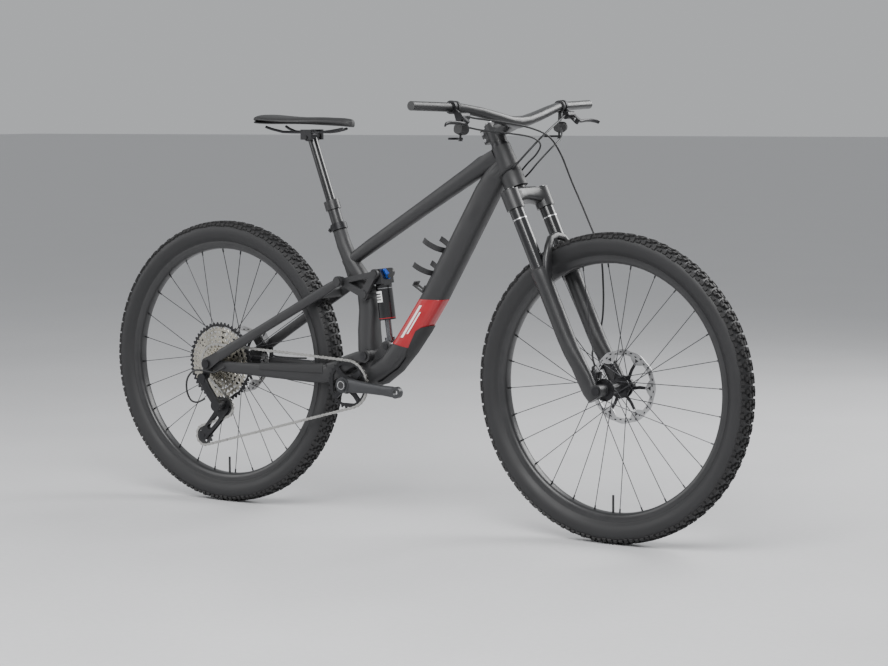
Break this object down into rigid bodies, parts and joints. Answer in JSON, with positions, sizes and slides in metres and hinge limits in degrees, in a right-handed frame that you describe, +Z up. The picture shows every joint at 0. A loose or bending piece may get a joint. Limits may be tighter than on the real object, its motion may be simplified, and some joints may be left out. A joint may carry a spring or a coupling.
{
  "type": "full-suspension mountain bicycle",
  "caption": "Full-suspension trail bicycle with telescopic fork, rear shock linkage, disc brakes, dropper post and rear derailleur drive.",
  "frame": {"origin": "on the ground, in the centre plane, midway between the wheel axles", "axes": "+X forward, +Y to the rider's left, +Z up"},
  "size_m": [1.934, 0.7828, 1.0599],
  "materials": {
    "frame_paint": "satin dark charcoal paint",
    "guard_rubber": "matte black moulded rubber",
    "black_alloy": "black anodised",
    "bolt_steel": "plain steel",
    "black_gloss": "gloss black anodised and painted",
    "cable_housing": "black hose jacket",
    "chain_steel": "bright nickel steel",
    "grip_rubber": "matte ribbed rubber",
    "tyre_rubber": "matte black tread",
    "plastic_black": "matte black nylon",
    "blue_anodised": "blue anodised"
  },
  "bodies": {
    "frame": {"main_frame": "frame_paint", "down_tube_guard": "guard_rubber", "headset": "black_alloy", "bottom_bracket": "black_alloy", "frame_bolts": "bolt_steel", "seat_clamp": "black_alloy", "dropper_outer": "black_gloss", "bottle_cage": "black_alloy", "chain": "chain_steel", "steering_hoses": "cable_housing"},
    "seat": {"dropper_post": "black_gloss", "post_head": "black_alloy", "saddle_rails": "bolt_steel", "saddle_shell": "plastic_black", "saddle_cover": "guard_rubber"},
    "steering": {"fork_crown": "black_alloy", "stanchions": "black_gloss", "bar_stem": "black_gloss", "stem_bolts": "bolt_steel", "grips": "grip_rubber", "brake_bodies": "black_alloy", "shifter": "black_alloy", "dropper_remote": "black_alloy", "front_brake_hose": "cable_housing"},
    "brake_lever_right": {"brake_blade_right": "black_alloy"},
    "brake_lever_left": {"brake_blade_left": "black_alloy"},
    "shift_lever": {"shift_paddle": "black_alloy"},
    "dropper_lever": {"remote_paddle": "black_alloy"},
    "fork_lower": {"fork_lowers": "black_gloss", "front_axle": "black_alloy", "front_caliper": "black_alloy"},
    "front_wheel": {"front_tyre": "tyre_rubber", "front_rim": "black_gloss", "front_spokes": "bolt_steel", "front_hub": "black_alloy", "front_rotor": "chain_steel"},
    "rear_arm": {"swingarm": "frame_paint", "chainstay_guard": "guard_rubber", "rear_axle": "black_alloy", "derailleur_body": "black_alloy", "rear_caliper": "black_alloy", "rear_lines": "cable_housing"},
    "rear_wheel": {"rear_tyre": "tyre_rubber", "rear_rim": "black_gloss", "rear_spokes": "bolt_steel", "rear_hub": "black_alloy", "rear_rotor": "chain_steel"},
    "cassette_body": {"cassette": "chain_steel"},
    "crankset": {"crank_right": "black_alloy", "crank_left": "black_alloy", "chainring": "black_alloy"},
    "cage": {"derailleur_cage": "black_alloy"},
    "guide_wheel": {"guide_pulley": "plastic_black"},
    "tension_wheel": {"tension_pulley": "plastic_black"},
    "stays": {"seatstays": "frame_paint"},
    "link": {"rocker": "black_alloy"},
    "shock_lower": {"shock_shaft": "chain_steel"},
    "shock_upper": {"shock_can": "black_gloss"},
    "shock_switch": {"shock_lever": "blue_anodised"}
  },
  "joints": [
    {"name": "steering_turn", "type": "hinge", "parent": "frame", "child": "steering", "pos_m": [0.5515, 0, 0.35171], "axis": [-0.4226, 0, 0.9063], "range_deg": [-50, 50], "deforming": ["steering_hoses"]},
    {"name": "fork_travel", "type": "slide", "parent": "steering", "child": "fork_lower", "axis": [-0.4226, 0, 0.9063], "range_m": [0, 0.12], "stiffness_N_per_m": 7000, "springref_m": -0.02, "deforming": ["front_brake_hose"]},
    {"name": "front_wheel_spin", "type": "hinge", "parent": "fork_lower", "child": "front_wheel", "pos_m": [0.595, 0, 0.372], "axis": [0, 1, 0], "continuous": true},
    {"name": "swing", "type": "hinge", "parent": "frame", "child": "rear_arm", "pos_m": [-0.112, 0, 0.415], "axis": [0, 1, 0], "range_deg": [0, 14.3], "stiffness_Nm_per_rad": 1500, "springref_deg": -1.72},
    {"name": "rear_wheel_spin", "type": "hinge", "parent": "rear_arm", "child": "rear_wheel", "pos_m": [-0.595, 0, 0.372], "axis": [0, 1, 0], "continuous": true},
    {"name": "crank_turn", "type": "hinge", "parent": "frame", "child": "crankset", "pos_m": [-0.16, 0, 0.341], "axis": [0, 1, 0], "continuous": true, "deforming": ["chain"]},
    {"name": "cassette_turn", "type": "hinge", "parent": "rear_arm", "child": "cassette_body", "pos_m": [-0.595, 0, 0.372], "axis": [0, 1, 0], "continuous": true},
    {"name": "cage_swing", "type": "hinge", "parent": "rear_arm", "child": "cage", "pos_m": [-0.572, -0.06, 0.262], "axis": [0, 1, 0], "range_deg": [-25, 20], "stiffness_Nm_per_rad": 4},
    {"name": "guide_turn", "type": "hinge", "parent": "cage", "child": "guide_wheel", "pos_m": [-0.566, -0.049, 0.256], "axis": [0, 1, 0], "continuous": true},
    {"name": "tension_turn", "type": "hinge", "parent": "cage", "child": "tension_wheel", "pos_m": [-0.638, -0.049, 0.177], "axis": [0, 1, 0], "continuous": true},
    {"name": "stay_pivot", "type": "hinge", "parent": "rear_arm", "child": "stays", "pos_m": [-0.595, 0, 0.372], "axis": [0, 1, 0], "range_deg": [-3.9, 0.1]},
    {"name": "rocker_pivot", "type": "hinge", "parent": "frame", "child": "link", "pos_m": [-0.12, 0, 0.57], "axis": [0, 1, 0], "range_deg": [0, 43.3]},
    {"name": "shock_eye", "type": "hinge", "parent": "frame", "child": "shock_lower", "pos_m": [-0.06, 0, 0.44], "axis": [0, 1, 0], "range_deg": [0, 9.4]},
    {"name": "shock_travel", "type": "slide", "parent": "shock_lower", "child": "shock_upper", "axis": [0.1354, 0, -0.9908], "range_m": [0, 0.0405]},
    {"name": "shock_switch_turn", "type": "hinge", "parent": "shock_upper", "child": "shock_switch", "pos_m": [-0.06698, 0, 0.61668], "axis": [0.9908, 0, 0.1354], "range_deg": [-40, 40]},
    {"name": "dropper_travel", "type": "slide", "parent": "frame", "child": "seat", "axis": [0.3453, 0, -0.9385], "range_m": [0, 0.15]},
    {"name": "brake_right_pull", "type": "hinge", "parent": "steering", "child": "brake_lever_right", "pos_m": [0.342, -0.244, 1.004], "axis": [-0.6293, 0, -0.7771], "range_deg": [0, 20], "stiffness_Nm_per_rad": 1, "springref_deg": -17.19},
    {"name": "brake_left_pull", "type": "hinge", "parent": "steering", "child": "brake_lever_left", "pos_m": [0.342, 0.244, 1.004], "axis": [0.6293, 0, 0.7771], "range_deg": [0, 20], "stiffness_Nm_per_rad": 1, "springref_deg": -17.19},
    {"name": "shift_push", "type": "hinge", "parent": "steering", "child": "shift_lever", "pos_m": [0.306, -0.216, 0.966], "axis": [0, 0, -1], "range_deg": [0, 20], "stiffness_Nm_per_rad": 0.3, "springref_deg": -17.19},
    {"name": "dropper_push", "type": "hinge", "parent": "steering", "child": "dropper_lever", "pos_m": [0.306, 0.216, 0.966], "axis": [0, 0, 1], "range_deg": [0, 20], "stiffness_Nm_per_rad": 0.3, "springref_deg": -17.19}
  ],
  "couplings": [
    {"joint": "stay_pivot", "follows": "swing", "ratio": -0.26561},
    {"joint": "rocker_pivot", "follows": "swing", "ratio": 3.0105},
    {"joint": "shock_eye", "follows": "swing", "ratio": 0.64314},
    {"joint": "shock_travel", "follows": "swing", "m_per_rad": 0.16056},
    {"joint": "cassette_turn", "follows": "crank_turn", "ratio": 1.25},
    {"joint": "guide_turn", "follows": "crank_turn", "ratio": -2.3077},
    {"joint": "tension_turn", "follows": "crank_turn", "ratio": 2.3077}
  ]
}
